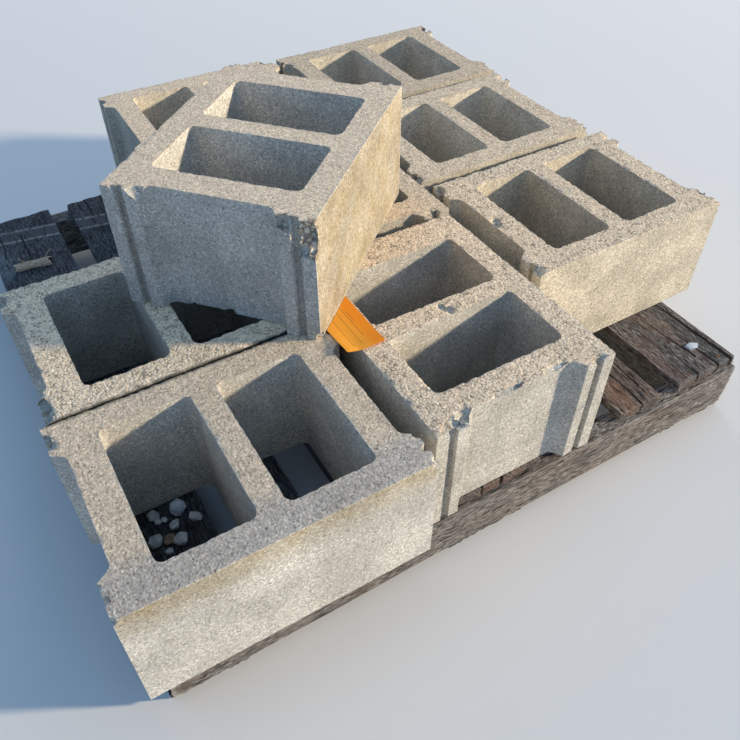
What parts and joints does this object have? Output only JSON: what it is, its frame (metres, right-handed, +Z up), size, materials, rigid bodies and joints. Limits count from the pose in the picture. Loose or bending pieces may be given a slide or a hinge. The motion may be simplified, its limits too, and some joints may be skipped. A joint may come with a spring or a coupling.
{
  "type": "pallet of concrete blocks",
  "caption": "Weathered timber stringer pallet loaded with grey two-core concrete masonry blocks, one lying turned on top of the layer.",
  "frame": {"origin": "on the ground, at the middle of the pallet's underside", "axes": "+X along the stringers to the right, +Y along the deck boards to the back, +Z up"},
  "size_m": [1.132, 1.1593, 0.5104],
  "materials": {
    "concrete": "rough cast concrete with open grain",
    "weathered_wood": "bare, weathered grey-brown",
    "tag_card": "orange card, matt"
  },
  "bodies": {
    "root": {"block_front_left": "concrete", "block_front_centre": "concrete", "block_left": "concrete", "block_centre": "concrete", "block_right": "concrete", "block_right_rear": "concrete", "block_back_right": "concrete", "block_back_left": "concrete", "block_top": "concrete", "deck_board_1": "weathered_wood", "deck_board_2": "weathered_wood", "deck_board_3": "weathered_wood", "deck_board_4": "weathered_wood", "deck_board_5": "weathered_wood", "deck_board_6": "weathered_wood", "deck_board_7": "weathered_wood", "stringer_front": "weathered_wood", "stringer_middle": "weathered_wood", "stringer_back": "weathered_wood", "bottom_board_left": "weathered_wood", "bottom_board_middle": "weathered_wood", "bottom_board_right": "weathered_wood", "lot_tag": "tag_card"}
  },
  "joints": []
}
